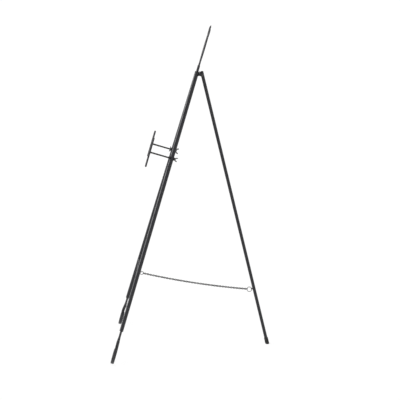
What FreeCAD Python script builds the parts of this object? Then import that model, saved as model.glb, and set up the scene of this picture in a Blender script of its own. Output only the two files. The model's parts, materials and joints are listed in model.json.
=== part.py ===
import FreeCAD, Part
import math
import os

# Ornamental metal floor easel, in millimetres.  The front faces -Y, +Z is up, and the origin is on
# the floor at the middle of the easel's footprint.
#
# The front frame, the crest and the two picture holders are drawn upright in frame coordinates:
# X sideways, Y through the frame (+Y is its back) and Z up the frame from the floor line.  to_world
# then leans them back.  The rear leg is drawn hanging from its hinge, and leg_to_world tilts it.

Vec = FreeCAD.Vector
X_AXIS, Y_AXIS, Z_AXIS = Vec(1, 0, 0), Vec(0, 1, 0), Vec(0, 0, 1)
SIDES = {"left": -1, "right": 1}

# Stance
FRONT_LEAN = 16.5            # front frame, degrees back from vertical
REAR_LEAN = 13.43            # rear leg, degrees from vertical
FLOOR_LINE_Y = -388.23       # where the front frame's middle plane meets the floor
WELD_GAP = 0.05              # gap left where one welded piece is cut to fit another

# Front tubes
TUBE_OD = 19.0
TUBE_WALL = 1.2
LEG_FOOT_X = 252.0           # half spread of the tube axes, carried on down to the floor
LEG_TOP_X = 14.0             # half spread at the top
LEG_TOP = 1456.0             # height of the tube tops, up the frame
LEG_BOTTOM = 165.0           # height of the tube ends, up the frame

# Feet
FOOT_ROD = 11.0
FOOT_BAR = (5.5, 15.5)       # forged scroll bar: thickness in the scroll's plane, width through it
FOOT_INSERT = 24.0           # length of rod up inside the tube

# Crossbar and front chain ring
CROSSBAR_HEIGHT = 404.7
CROSSBAR_ROD = 9.5
EYE_WIRE = 3.0
EYE_RADIUS = 4.6             # to the wire's middle
EYE_BACK = 15.2              # eye centre behind the frame's middle plane
FRONT_RING_BACK = 23.9
FRONT_RING_DROP = 3.0        # ring centre below the crossbar, down the frame
FRONT_RING_RADIUS = 8.5
FRONT_RING_WIRE = 3.0

# Crest
CREST_STEM = 9.0
CREST_BOTTOM = 1424.0
CREST_TOP = 1693.0
CREST_BAR = 8.0
FINIAL_TALL = 26.0
CREST_COLLAR_HEIGHT = 1478.0  # its middle
CREST_COLLAR = (28.0, 11.5)   # height and thickness

# Hinge
HINGE_HEIGHT = 1453.8
HINGE_BACK = 28.3
BRACKET_PLATE = 3.0
BRACKET_WIDE = 46.0
BRACKET_TALL = 15.5
CHEEK_INNER = 8.7
BOLT_D = 6.0
BOLT_ACROSS = 10.0           # across the flats of its head and nut
BUSH_BORE = 6.1
BUSH_OD = 8.0

# Rear leg
REAR_OD = 16.0
REAR_WALL = 1.2
REAR_ABOVE_HINGE = 13.5
REAR_TUBE_LIFT = 5.0         # tube's end above the floor, along the leg
CAP_OD = 20.0
CAP_LENGTH = 34.0
RING_DROP = 1116.9           # rear chain ring below the hinge, along the leg
REAR_RING_FRONT = 23.7       # ring centre ahead of the leg's axis
REAR_RING_RADIUS = 12.2
REAR_RING_WIRE = 3.3
STAPLE_WIRE = 3.0
STAPLE_RADIUS = 3.7

# Chain
LINK_WIRE = 3.0
LINK_WIDTH = 9.8
LINK_LENGTH = 13.2
LINK_COUNT = 75              # odd, so that the first and last links both cross their rings
CHAIN_SAG = 10.0
LINK_GAP = 0.15

# Picture holders
HOLDER_HEIGHT = 1036.5
HOLDER_ROD = 8.0
HOLDER_REACH = 110.0         # frame's middle plane to the upright's middle
ROD_END_BACK = 19.5
UPRIGHT_ROD = 9.2
UPRIGHT_HALF = 72.0          # rod's axis to the top of the upright's curl
UPRIGHT_BEND = 16.0          # radius of the curl's first bend
LEG_HOLE = 8.6
NUT_BORE = 8.1
WASHER = (17.0, 8.6, 1.6)    # outside diameter, bore, thickness
WASHER_SEAT = 0.1            # washer to tube
NUT_SEAT = 0.3               # nut to washer
WING_SPAN = 36.0
WING_TALL = 17.0
WING_HUB = 6.5               # hub height of the nuts behind the legs
WING_THICK = 3.0
LOW_SPAN = 29.0
LOW_TALL = 6.5
LOW_HUB = 5.2                # hub height of the low nuts in front
REAR_SPIN = {"left": 55.0, "right": 42.0}     # wings, degrees from upright
FRONT_SPIN = {"left": 0.0, "right": 90.0}


# ---------------------------------------------------------------- placing

def leg_x(height):
    """Half spread of the front tube axes at a height up the frame."""
    return LEG_FOOT_X + (LEG_TOP_X - LEG_FOOT_X) * height / LEG_TOP


def to_world(shape):
    """Lean a shape drawn in frame coordinates back, and stand it on the floor line."""
    placed = shape.copy()
    placed.rotate(Vec(0, 0, 0), X_AXIS, -FRONT_LEAN)
    placed.translate(Vec(0, FLOOR_LINE_Y, 0))
    return placed


def point_to_world(x, back, height):
    lean = math.radians(FRONT_LEAN)
    return Vec(x, FLOOR_LINE_Y + back * math.cos(lean) + height * math.sin(lean),
               height * math.cos(lean) - back * math.sin(lean))


HINGE = point_to_world(0, HINGE_BACK, HINGE_HEIGHT)


def leg_to_world(shape):
    """Tilt a shape drawn hanging from the hinge, and move it to the hinge."""
    placed = shape.copy()
    placed.rotate(Vec(0, 0, 0), X_AXIS, REAR_LEAN)
    placed.translate(HINGE)
    return placed


def leg_point_to_world(back, up):
    lean = math.radians(REAR_LEAN)
    return HINGE + Vec(0, back * math.cos(lean) - up * math.sin(lean),
                       back * math.sin(lean) + up * math.cos(lean))


REAR_LENGTH = HINGE.z / math.cos(math.radians(REAR_LEAN))     # hinge to floor, along the leg


def along(shape, point, direction):
    """Turn a shape drawn along +Z from the origin to lie along a direction from a point."""
    place = FreeCAD.Placement(point, FreeCAD.Rotation(Z_AXIS, direction))
    return shape.transformed(place.toMatrix(), True)


def rod(start, end, diameter):
    span = end - start
    return Part.makeCylinder(diameter / 2, span.Length, start, span)


def tube(start, end, diameter, wall):
    return rod(start, end, diameter).cut(rod(start, end, diameter - 2 * wall))


def ring(centre, axis, radius, wire):
    return Part.makeTorus(radius, wire / 2, centre, axis)


def revolve(points):
    """Solid of revolution about Z of an outline given as (radius, height) points.

    A point may be a triple (radius, height, "arc"): it is then the middle of an arc between its
    neighbours.
    """
    corners = [Vec(p[0], 0, p[1]) for p in points]
    arcs = [len(p) == 3 for p in points]
    edges = []
    count = len(points)
    index = 0
    while index < count:
        after = (index + 1) % count
        if arcs[after]:
            last = (index + 2) % count
            edges.append(Part.Arc(corners[index], corners[after], corners[last]).toShape())
            index += 2
        else:
            edges.append(Part.makeLine(corners[index], corners[after]))
            index += 1
    return Part.Face(Part.Wire(edges)).revolve(Vec(0, 0, 0), Z_AXIS, 360)


# ---------------------------------------------------------------- scroll bars

def walk(start, heading, moves):
    """Path in the frame's middle plane: (length,) goes straight and (radius, degrees) turns.

    start is (x, height), and heading is in degrees, 0 along +X and 90 up.  A positive turn goes
    left.  Returns the edges, and the last point and heading.
    """
    x, z = start
    edges = []
    for move in moves:
        if len(move) == 1:
            end_x = x + move[0] * math.cos(math.radians(heading))
            end_z = z + move[0] * math.sin(math.radians(heading))
            edges.append(Part.makeLine(Vec(x, 0, z), Vec(end_x, 0, end_z)))
        else:
            radius, turn = move
            side = math.radians(heading + math.copysign(90, turn))
            centre_x = x + radius * math.cos(side)
            centre_z = z + radius * math.sin(side)
            spots = []
            for share in (0.5, 1.0):
                out = side + math.pi + math.radians(turn * share)
                spots.append((centre_x + radius * math.cos(out), centre_z + radius * math.sin(out)))
            middle, (end_x, end_z) = spots
            edges.append(Part.Arc(Vec(x, 0, z), Vec(middle[0], 0, middle[1]),
                                  Vec(end_x, 0, end_z)).toShape())
            heading += turn
        x, z = end_x, end_z
    return edges, (x, z), heading


def round_profile(start, heading, diameter):
    way = Vec(math.cos(math.radians(heading)), 0, math.sin(math.radians(heading)))
    return Part.Wire(Part.makeCircle(diameter / 2, Vec(start[0], 0, start[1]), way))


def flat_profile(start, heading, bar):
    """Section of a flat bar: bar[0] in the path's plane, and bar[1] across it, corners softened."""
    thick, wide = bar
    soft = thick * 0.3
    left = Vec(-math.sin(math.radians(heading)), 0, math.cos(math.radians(heading)))
    middle = Vec(start[0], 0, start[1])
    corners = []
    for sign_t, sign_w in ((1, 1), (-1, 1), (-1, -1), (1, -1)):
        spots = [(thick / 2 - soft, wide / 2), (thick / 2, wide / 2 - soft)]
        if sign_t * sign_w > 0:
            spots.reverse()
        corners += [middle + left * (sign_t * t) + Y_AXIS * (sign_w * w) for t, w in spots]
    return Part.makePolygon(corners + [corners[0]])


def sweep(edges, profile):
    solid = Part.Wire(edges).makePipeShell([profile], True, False)
    return Part.Solid(solid) if solid.ShapeType == "Shell" else solid


def mirror(shape):
    return shape.mirror(Vec(0, 0, 0), X_AXIS)


def for_side(shape, side):
    """A shape drawn for the right side, as it is on this side."""
    return shape if SIDES[side] > 0 else mirror(shape)


# ---------------------------------------------------------------- front frame (right side)

LEG_UP = Vec(LEG_TOP_X - LEG_FOOT_X, 0, LEG_TOP)
LEG_UP.normalize()
LEG_LOW = Vec(leg_x(LEG_BOTTOM), 0, LEG_BOTTOM)
LEG_HIGH = Vec(LEG_TOP_X, 0, LEG_TOP)
LEG_HEADING = math.degrees(math.atan2(LEG_UP.z, LEG_UP.x))
HOLDER_X = leg_x(HOLDER_HEIGHT)


def front_tube():
    body = tube(LEG_LOW, LEG_HIGH, TUBE_OD, TUBE_WALL)
    hole = rod(Vec(HOLDER_X, -TUBE_OD, HOLDER_HEIGHT), Vec(HOLDER_X, TUBE_OD, HOLDER_HEIGHT), LEG_HOLE)
    return body.cut(hole)


def domed_cap(outside, wall, depth, crown):
    """Dome with a plug: drawn with the tube's end at the origin and the dome along +Z."""
    rim, edge = outside / 2, 1.0
    plug = rim - wall - WELD_GAP
    rise = crown - edge
    ball = (rim ** 2 + rise ** 2) / (2 * rise)
    middle = (rim / 2, crown - ball + math.sqrt(ball ** 2 - rim ** 2 / 4), "arc")
    return revolve([(0, -depth), (plug - 0.8, -depth), (plug, -depth + 1.0), (plug, WELD_GAP),
                    (rim, WELD_GAP), (rim, edge), middle, (0, crown)])


def front_cap():
    return along(domed_cap(TUBE_OD, TUBE_WALL, 14.0, 5.2), LEG_HIGH, LEG_UP)


def end_plug():
    """Disc that closes the tube's lower end round the foot's rod."""
    depth = 8.0
    disc = rod(LEG_LOW, LEG_LOW + LEG_UP * depth, TUBE_OD - 2 * TUBE_WALL - 2 * WELD_GAP)
    return disc.cut(rod(LEG_LOW - LEG_UP, LEG_LOW + LEG_UP * (depth + 1), FOOT_ROD + 2 * WELD_GAP))


FOOT_CURL = [(45, 65), (44, -164), (38, -90), (28, -90), (20, -90), (13, -60)]


def foot_at(straight):
    """Rod out of the tube, then a forged scroll that swings outward and curls in."""
    start = LEG_LOW + LEG_UP * FOOT_INSERT
    down = LEG_HEADING + 180
    rod_edges, bend, heading = walk((start.x, start.z), down, [(FOOT_INSERT + straight,)])
    stem = sweep(rod_edges, round_profile((start.x, start.z), down, FOOT_ROD))
    curl_edges, _, _ = walk(bend, heading, FOOT_CURL)
    curl = sweep(curl_edges, flat_profile(bend, heading, FOOT_BAR))
    knuckle = Part.makeSphere(FOOT_ROD / 2 + 1.2, Vec(bend[0], 0, bend[1]))
    return stem.fuse([knuckle, curl]).removeSplitter()


def foot():
    """Foot whose straight run is as long as brings the scroll's lowest point to the floor."""
    trial = 50.0
    lift = to_world(foot_at(trial)).optimalBoundingBox(False, False).ZMin
    drop = LEG_UP.z * math.cos(math.radians(FRONT_LEAN))
    return foot_at(trial + lift / drop)


def crossbar():
    reach = leg_x(CROSSBAR_HEIGHT)
    bar = rod(Vec(-reach, 0, CROSSBAR_HEIGHT), Vec(reach, 0, CROSSBAR_HEIGHT), CROSSBAR_ROD)
    outer = rod(LEG_LOW, LEG_HIGH, TUBE_OD + 2 * WELD_GAP)
    shank = rod(Vec(0, -20, CROSSBAR_HEIGHT), Vec(0, 20, CROSSBAR_HEIGHT), EYE_WIRE + 2 * WELD_GAP)
    return bar.cut(outer).cut(mirror(outer)).cut(shank)


def front_eye():
    """Eye bolt through the crossbar, its head in front and its eye behind, lying flat."""
    centre = Vec(0, EYE_BACK, CROSSBAR_HEIGHT)
    loop = ring(centre, Z_AXIS, EYE_RADIUS, EYE_WIRE)
    face = CROSSBAR_ROD / 2 + WELD_GAP
    shank = rod(Vec(0, -face - 0.5, CROSSBAR_HEIGHT),
                Vec(0, EYE_BACK - EYE_RADIUS, CROSSBAR_HEIGHT), EYE_WIRE)
    head = Part.makeCylinder(4.0, 2.0, Vec(0, -face, CROSSBAR_HEIGHT), Vec(0, -1, 0))
    return loop.fuse([shank, head]).removeSplitter()


# ---------------------------------------------------------------- crest

LYRE_OUT = 11.0              # where the lyre's bars leave the collar, from the middle
LYRE_LOW = 1474.0            # the bars' lower ends, inside the collar
LYRE_CURL = [(22,), (60, -35), (85, 75), (26, -170), (19, -100), (13, -80), (9, -50)]


def crest_stem():
    """Middle bar: held between the tube tops, and drawn to a point under the finial."""
    top = CREST_TOP - FINIAL_TALL
    body = revolve([(0, CREST_BOTTOM), (CREST_STEM / 2, CREST_BOTTOM), (CREST_STEM / 2, top - 40),
                    (CREST_STEM / 2 - 1.2, top), (0, top)])
    sides = rod(LEG_LOW, LEG_HIGH + LEG_UP * 6, TUBE_OD + 2 * WELD_GAP)
    return body.cut(sides).cut(mirror(sides))


def finial():
    """Turned bead and spear on the stem's top."""
    base = CREST_TOP - FINIAL_TALL
    return revolve([(0, base + WELD_GAP), (3.4, base + WELD_GAP), (3.4, base + 2.0),
                    (4.7, base + 5.0, "arc"), (2.6, base + 8.6), (4.2, base + 14.0, "arc"),
                    (1.0, base + FINIAL_TALL - 1), (0, base + FINIAL_TALL)])


def crest_collar():
    """Band that ties the lyre's two bars to the stem."""
    tall, thick = CREST_COLLAR
    half = LYRE_OUT + CREST_BAR / 2 + 1.2
    band = Part.makeBox(2 * half, thick, tall, Vec(-half, -thick / 2, CREST_COLLAR_HEIGHT - tall / 2))
    band = band.makeFillet(1.6, band.Edges)
    core = rod(Vec(0, 0, CREST_BOTTOM), Vec(0, 0, CREST_TOP), CREST_STEM + 2 * WELD_GAP)
    band = band.cut(core)
    for sign in (-1, 1):
        bar = rod(Vec(sign * LYRE_OUT, 0, CREST_BOTTOM), Vec(sign * LYRE_OUT, 0, CREST_TOP),
                  CREST_BAR + 2 * WELD_GAP)
        band = band.cut(bar)
    return band


def lyre_bar():
    """Right-hand bar of the lyre: it swells out above the collar, and curls outward at the top."""
    start = (LYRE_OUT, LYRE_LOW)
    edges, _, _ = walk(start, 90, LYRE_CURL)
    return sweep(edges, round_profile(start, 90, CREST_BAR))


# ---------------------------------------------------------------- hinge

def hinge_bracket():
    """U bracket on the backs of the tubes: a plate, and two rounded cheeks round the rear leg."""
    low = HINGE_HEIGHT - BRACKET_TALL / 2
    front = TUBE_OD / 2 + WASHER_SEAT
    plate = Part.makeBox(BRACKET_WIDE, BRACKET_PLATE, BRACKET_TALL, Vec(-BRACKET_WIDE / 2, front, low))
    pieces = []
    for sign in (-1, 1):
        inner = CHEEK_INNER if sign > 0 else -CHEEK_INNER - BRACKET_PLATE
        arm = Part.makeBox(BRACKET_PLATE, HINGE_BACK - front, BRACKET_TALL, Vec(inner, front, low))
        nose = Part.makeCylinder(BRACKET_TALL / 2, BRACKET_PLATE, Vec(inner, HINGE_BACK, HINGE_HEIGHT),
                                 X_AXIS)
        pieces += [arm, nose]
    body = plate.fuse(pieces).removeSplitter()
    bore = rod(Vec(-30, HINGE_BACK, HINGE_HEIGHT), Vec(30, HINGE_BACK, HINGE_HEIGHT), BOLT_D + 0.2)
    return body.cut(bore)


def hexagon(across, height):
    """Hexagon bar standing on the XY plane, its top corners turned down."""
    radius = across / math.sqrt(3)
    corners = [Vec(radius * math.cos(math.radians(60 * k)), radius * math.sin(math.radians(60 * k)), 0)
               for k in range(7)]
    prism = Part.Face(Part.makePolygon(corners)).extrude(Vec(0, 0, height))
    chamfer = revolve([(0, 0), (radius, 0), (radius, height - 0.9), (across / 2 - 0.4, height), (0, height)])
    return prism.common(chamfer)


CHEEK_OUTER = CHEEK_INNER + BRACKET_PLATE
HINGE_WASHER = 1.2
HINGE_NUT = 6.0


def at_hinge(shape, x, sign):
    return along(shape, Vec(x, HINGE_BACK, HINGE_HEIGHT), Vec(sign, 0, 0))


def hinge_bolt():
    seat = CHEEK_OUTER + HINGE_WASHER + 0.1
    head = at_hinge(hexagon(BOLT_ACROSS, 4.0), seat, 1)
    tail = CHEEK_OUTER + HINGE_WASHER + HINGE_NUT + 3.0
    shank = rod(Vec(-tail, HINGE_BACK, HINGE_HEIGHT), Vec(seat + 1, HINGE_BACK, HINGE_HEIGHT), BOLT_D)
    return head.fuse(shank).removeSplitter()


def hinge_nut():
    seat = CHEEK_OUTER + HINGE_WASHER + 0.1
    body = at_hinge(hexagon(BOLT_ACROSS, HINGE_NUT), -seat, -1)
    bore = rod(Vec(-40, HINGE_BACK, HINGE_HEIGHT), Vec(0, HINGE_BACK, HINGE_HEIGHT), BOLT_D + 0.1)
    return body.cut(bore)


def hinge_washers():
    rings = []
    for sign in (-1, 1):
        start = sign * (CHEEK_OUTER + WELD_GAP)
        disc = Part.makeCylinder(6.0, HINGE_WASHER, Vec(start, HINGE_BACK, HINGE_HEIGHT), Vec(sign, 0, 0))
        bore = rod(Vec(-40, HINGE_BACK, HINGE_HEIGHT), Vec(40, HINGE_BACK, HINGE_HEIGHT), BOLT_D + 0.4)
        rings.append(disc.cut(bore))
    return Part.makeCompound(rings)


# ---------------------------------------------------------------- rear leg (hangs from the hinge)

def rear_tube():
    body = tube(Vec(0, 0, REAR_TUBE_LIFT - REAR_LENGTH), Vec(0, 0, REAR_ABOVE_HINGE), REAR_OD, REAR_WALL)
    return body.cut(rod(Vec(-20, 0, 0), Vec(20, 0, 0), BUSH_OD + 2 * WELD_GAP))


def rear_bush():
    reach = CHEEK_INNER - 0.3
    return tube(Vec(-reach, 0, 0), Vec(reach, 0, 0), BUSH_OD, (BUSH_OD - BUSH_BORE) / 2)


def rear_cap():
    """Dome cap whose plug stops above the hinge bush."""
    cap = domed_cap(REAR_OD, REAR_WALL, 3.6, 4.8)
    cap.translate(Vec(0, 0, REAR_ABOVE_HINGE))
    return cap


def rear_foot_cap():
    """Rubber ferrule, rounded below and cut level where it stands on the floor."""
    outer = CAP_OD / 2
    bore = REAR_OD / 2 + WELD_GAP
    low = -5.0
    seat = REAR_TUBE_LIFT - WELD_GAP
    shell = revolve([(0, low), (outer - 4, low), (outer - 1.2, low + 1.4, "arc"), (outer, low + 5),
                     (outer, CAP_LENGTH - 6), (outer - 1.2, CAP_LENGTH), (bore, CAP_LENGTH),
                     (bore, seat), (0, seat)])
    shell.translate(Vec(0, 0, -REAR_LENGTH))
    standing = leg_to_world(shell)
    foot_y = leg_point_to_world(0, -REAR_LENGTH).y
    below = Part.makeBox(80, 80, 40, Vec(-40, foot_y - 40, -40))
    return standing.cut(below)


RING_Z = -RING_DROP


def rear_ring():
    return ring(Vec(0, -REAR_RING_FRONT, RING_Z), X_AXIS, REAR_RING_RADIUS, REAR_RING_WIRE)


def rear_staple():
    """U of wire welded to the leg, closed round the ring's wire."""
    ring_y = -REAR_RING_FRONT + REAR_RING_RADIUS
    bow = Part.makeTorus(STAPLE_RADIUS, STAPLE_WIRE / 2, Vec(0, 0, 0), Z_AXIS, -180, 180, 180)
    bow.rotate(Vec(0, 0, 0), Z_AXIS, 180)
    bow.translate(Vec(0, ring_y, RING_Z))
    pieces = []
    for sign in (-1, 1):
        pieces.append(rod(Vec(sign * STAPLE_RADIUS, ring_y, RING_Z),
                          Vec(sign * STAPLE_RADIUS, 0, RING_Z), STAPLE_WIRE))
    body = bow.fuse(pieces)
    leg = rod(Vec(0, 0, RING_Z - 20), Vec(0, 0, RING_Z + 20), REAR_OD + 2 * WELD_GAP)
    return body.cut(leg).removeSplitter()


# ---------------------------------------------------------------- chain

def chain_ends():
    """Where the middles of the first and last links' end wires lie, inside the two rings."""
    front = point_to_world(0, FRONT_RING_BACK, CROSSBAR_HEIGHT - FRONT_RING_DROP)
    rear = leg_point_to_world(-REAR_RING_FRONT, RING_Z)
    run = rear - front
    run.normalize()
    in_front = FRONT_RING_RADIUS - FRONT_RING_WIRE / 2 - LINK_WIRE / 2 - LINK_GAP
    in_rear = REAR_RING_RADIUS - REAR_RING_WIRE / 2 - LINK_WIRE / 2 - LINK_GAP
    return front + run * in_front, rear - run * in_rear


def sag_point(start, end, share):
    """Point on the chain's hanging curve, a shallow parabola."""
    drop = 4 * CHAIN_SAG * share * (1 - share)
    return start + (end - start) * share - Z_AXIS * drop


def link():
    """One oval link lying in the XZ plane, its long way along Z."""
    radius = (LINK_WIDTH - LINK_WIRE) / 2
    half = (LINK_LENGTH - LINK_WIDTH) / 2
    path = [Part.makeLine(Vec(radius, 0, -half), Vec(radius, 0, half)),
            Part.Arc(Vec(radius, 0, half), Vec(0, 0, half + radius), Vec(-radius, 0, half)).toShape(),
            Part.makeLine(Vec(-radius, 0, half), Vec(-radius, 0, -half)),
            Part.Arc(Vec(-radius, 0, -half), Vec(0, 0, -half - radius), Vec(radius, 0, -half)).toShape()]
    profile = Part.Wire(Part.makeCircle(LINK_WIRE / 2, Vec(radius, 0, -half), Z_AXIS))
    return sweep(path, profile)


def chain():
    start, end = chain_ends()
    steps = 400
    points = [sag_point(start, end, k / steps) for k in range(steps + 1)]
    travel = [0.0]           # distance along the curve at each point
    for before, after in zip(points, points[1:]):
        travel.append(travel[-1] + (after - before).Length)
    reach = (LINK_LENGTH - LINK_WIRE) / 2
    pitch = (travel[-1] - 2 * reach) / (LINK_COUNT - 1)
    print("chain: length %.1f, link pitch %.3f, loosest %.3f" % (travel[-1], pitch, 2 * reach - LINK_WIRE))
    one = link()
    links = []
    for index in range(LINK_COUNT):
        place = reach + index * pitch
        spot = next(k for k in range(1, steps + 1) if travel[k] >= place or k == steps)
        share = (place - travel[spot - 1]) / (travel[spot] - travel[spot - 1])
        centre = points[spot - 1] + (points[spot] - points[spot - 1]) * share
        way = points[spot] - points[spot - 1]
        tilt = math.degrees(math.atan2(-way.y, way.z))
        copy = one.copy()
        if index % 2:
            copy.rotate(Vec(0, 0, 0), Z_AXIS, 90)
        copy.rotate(Vec(0, 0, 0), X_AXIS, tilt)
        copy.translate(centre)
        links.append(copy)
    return Part.makeCompound(links)


# ---------------------------------------------------------------- picture holders (right side)

HOLDER_AXIS = Vec(HOLDER_X, 0, HOLDER_HEIGHT)
UPRIGHT_STRAIGHT = UPRIGHT_HALF - UPRIGHT_BEND - UPRIGHT_ROD / 2
UPRIGHT_CURL = [(UPRIGHT_STRAIGHT,), (UPRIGHT_BEND, 130), (12, 90), (8.5, 60)]


def upright_half(sign):
    """Half of the upright's S: a straight run from the rod, then a curl at its end."""
    heading = 90 if sign > 0 else 270
    edges, _, _ = walk((HOLDER_X, HOLDER_HEIGHT), heading, UPRIGHT_CURL)
    return sweep(edges, round_profile((HOLDER_X, HOLDER_HEIGHT), heading, UPRIGHT_ROD))


def upright():
    body = upright_half(1).fuse(upright_half(-1)).removeSplitter()
    body.translate(Vec(0, -HOLDER_REACH, 0))
    return body


def holder_rod():
    """Rod through the leg, its front end shaped to the upright and its back end chamfered."""
    back = HOLDER_AXIS + Y_AXIS * ROD_END_BACK
    shank = revolve([(0, 0), (HOLDER_ROD / 2 - 1.0, 0), (HOLDER_ROD / 2, 1.0),
                     (HOLDER_ROD / 2, ROD_END_BACK + HOLDER_REACH), (0, ROD_END_BACK + HOLDER_REACH)])
    shank = along(shank, back, Vec(0, -1, 0))
    socket = rod(HOLDER_AXIS - Y_AXIS * HOLDER_REACH - Z_AXIS * 12,
                 HOLDER_AXIS - Y_AXIS * HOLDER_REACH + Z_AXIS * 12, UPRIGHT_ROD + 2 * WELD_GAP)
    cut = shank.cut(socket)
    return max(cut.Solids, key=lambda solid: solid.Volume)


def wing_nut(span, tall, hub_tall, spin):
    """Wing nut standing on the XY plane, drawn along +Z, its wings turned by spin."""
    hub_low, hub_high = 7.2, 5.6
    hub = revolve([(0, 0), (hub_low, 0), (hub_high, hub_tall), (0, hub_tall)])
    half = span / 2
    outline = [Vec(4, 0, tall * 0.06), Vec(7.4, 0, tall * 0.10), Vec(half - 1.5, 0, tall * 0.62),
               Vec(half, 0, tall * 0.80), Vec(half - 1.0, 0, tall * 0.97), Vec(half - 3.4, 0, tall),
               Vec(half - 6.2, 0, tall * 0.88), Vec(6.4, 0, hub_tall * 0.95), Vec(4, 0, hub_tall * 0.9)]
    wing = Part.Face(Part.makePolygon(outline + [outline[0]])).extrude(Vec(0, WING_THICK, 0))
    wing.translate(Vec(0, -WING_THICK / 2, 0))
    both = hub.fuse([wing, wing.mirror(Vec(0, 0, 0), X_AXIS)])
    both = both.cut(Part.makeCylinder(NUT_BORE / 2, tall * 2, Vec(0, 0, -1), Z_AXIS))
    both.rotate(Vec(0, 0, 0), Z_AXIS, 90 + spin)
    return both.removeSplitter()


def washer(back):
    """Flat washer on one face of the tube: back is 1 behind the leg and -1 in front of it."""
    outside, bore, thick = WASHER
    seat = HOLDER_AXIS + Y_AXIS * (back * (TUBE_OD / 2 + WASHER_SEAT))
    disc = Part.makeCylinder(outside / 2, thick, seat, Y_AXIS * back)
    return disc.cut(Part.makeCylinder(bore / 2, thick * 3, seat - Y_AXIS * (back * thick), Y_AXIS * back))


NUT_STAND = TUBE_OD / 2 + WASHER_SEAT + WASHER[2] + NUT_SEAT


def nut_on_leg(shape, back):
    """Stand a wing nut drawn along +Z on a washer, behind (1) or in front (-1) of the leg."""
    placed = shape.copy()
    placed.rotate(Vec(0, 0, 0), X_AXIS, -90 * back)
    placed.translate(HOLDER_AXIS + Y_AXIS * (back * NUT_STAND))
    return placed


# ---------------------------------------------------------------- writing the pieces

def save(name, shape):
    solids = shape.Solids
    volume = sum(solid.Volume for solid in solids)
    state = "" if shape.isValid() else "  NOT VALID"
    print("%-22s %3d solid(s) %11.1f mm3%s" % (name, len(solids), volume, state))
    result = solids[0] if len(solids) == 1 else Part.makeCompound(solids)
    result.exportStep("parts/%s.step" % name)
    return result


def build():
    os.makedirs("parts", exist_ok=True)
    right_side = {
        "front_leg": front_tube(), "leg_top_cap": front_cap(), "tube_end_plug": end_plug(),
        "foot_scroll": foot(), "crest_scroll": lyre_bar(), "holder_upright": upright(),
        "holder_rod": holder_rod(), "holder_front_washer": washer(-1),
        "holder_rear_washer": washer(1)}
    made = []
    for side in SIDES:
        for name, shape in right_side.items():
            made.append(save("%s_%s" % (name, side), to_world(for_side(shape, side))))
        rear_nut = nut_on_leg(wing_nut(WING_SPAN, WING_TALL, WING_HUB, REAR_SPIN[side]), 1)
        front_nut = nut_on_leg(wing_nut(LOW_SPAN, LOW_TALL, LOW_HUB, FRONT_SPIN[side]), -1)
        made.append(save("rear_wing_nut_" + side, to_world(for_side(rear_nut, side))))
        made.append(save("front_wing_nut_" + side, to_world(for_side(front_nut, side))))
    middle = {
        "crossbar": crossbar(), "chain_front_eye": front_eye(), "crest_stem": crest_stem(),
        "crest_finial": finial(), "crest_collar": crest_collar(), "hinge_bracket": hinge_bracket(),
        "hinge_bolt": hinge_bolt(), "hinge_nut": hinge_nut(), "hinge_washers": hinge_washers(),
        "chain_front_ring": ring(Vec(0, FRONT_RING_BACK, CROSSBAR_HEIGHT - FRONT_RING_DROP), X_AXIS,
                                 FRONT_RING_RADIUS, FRONT_RING_WIRE)}
    for name, shape in middle.items():
        made.append(save(name, to_world(shape)))
    rear = {"rear_leg_tube": rear_tube(), "rear_leg_bush": rear_bush(), "rear_leg_cap": rear_cap(),
            "chain_rear_ring": rear_ring(), "chain_rear_staple": rear_staple()}
    for name, shape in rear.items():
        made.append(save(name, leg_to_world(shape)))
    made.append(save("rear_foot_cap", rear_foot_cap()))
    made.append(save("chain_links", chain()))
    box = Part.makeCompound(made).optimalBoundingBox(False, False)
    print("box X %.2f %.2f  Y %.2f %.2f  Z %.2f %.2f"
          % (box.XMin, box.XMax, box.YMin, box.YMax, box.ZMin, box.ZMax))
    print("hinge at Y %.3f Z %.3f" % (HINGE.y, HINGE.z))
    print("holder axis from", point_to_world(HOLDER_X, 0, HOLDER_HEIGHT))


build()
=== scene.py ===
import json
import math
import random

import bmesh
import bpy
from mathutils import Matrix, Vector


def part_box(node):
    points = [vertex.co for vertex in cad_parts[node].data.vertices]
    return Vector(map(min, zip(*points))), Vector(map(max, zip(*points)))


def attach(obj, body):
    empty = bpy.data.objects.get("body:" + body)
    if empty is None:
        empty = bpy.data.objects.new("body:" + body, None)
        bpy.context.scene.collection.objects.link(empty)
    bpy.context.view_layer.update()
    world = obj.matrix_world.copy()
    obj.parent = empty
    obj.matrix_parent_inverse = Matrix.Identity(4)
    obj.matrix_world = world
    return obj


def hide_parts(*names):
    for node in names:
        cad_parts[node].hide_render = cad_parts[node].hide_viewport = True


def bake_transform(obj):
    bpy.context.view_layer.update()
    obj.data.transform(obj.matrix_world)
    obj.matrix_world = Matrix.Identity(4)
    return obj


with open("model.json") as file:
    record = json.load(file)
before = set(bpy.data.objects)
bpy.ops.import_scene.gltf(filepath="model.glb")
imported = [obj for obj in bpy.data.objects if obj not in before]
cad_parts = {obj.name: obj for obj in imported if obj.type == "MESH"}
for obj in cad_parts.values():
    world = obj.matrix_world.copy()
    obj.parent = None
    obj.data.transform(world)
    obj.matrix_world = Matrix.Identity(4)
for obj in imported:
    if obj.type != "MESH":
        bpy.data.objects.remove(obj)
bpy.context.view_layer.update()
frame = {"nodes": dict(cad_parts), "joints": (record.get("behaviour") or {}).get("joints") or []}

# Ornamental metal floor easel, in metres.  The front faces -Y and the origin is on the floor.  Pieces
# of the leaning front are drawn as (x, back, up): sideways, behind the front's middle plane, and up
# the front from the floor.  Pieces of the rear leg are drawn the same way from its hinge.

NODES = frame["nodes"]
JOINTS = {joint["name"]: joint for joint in frame["joints"]}
SIDES = {"left": -1, "right": 1}
MM = 0.001
FRONT, REAR = "front_frame", "rear_leg"
X_AXIS = Vector((1, 0, 0))
Z_AXIS = Vector((0, 0, 1))


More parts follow.
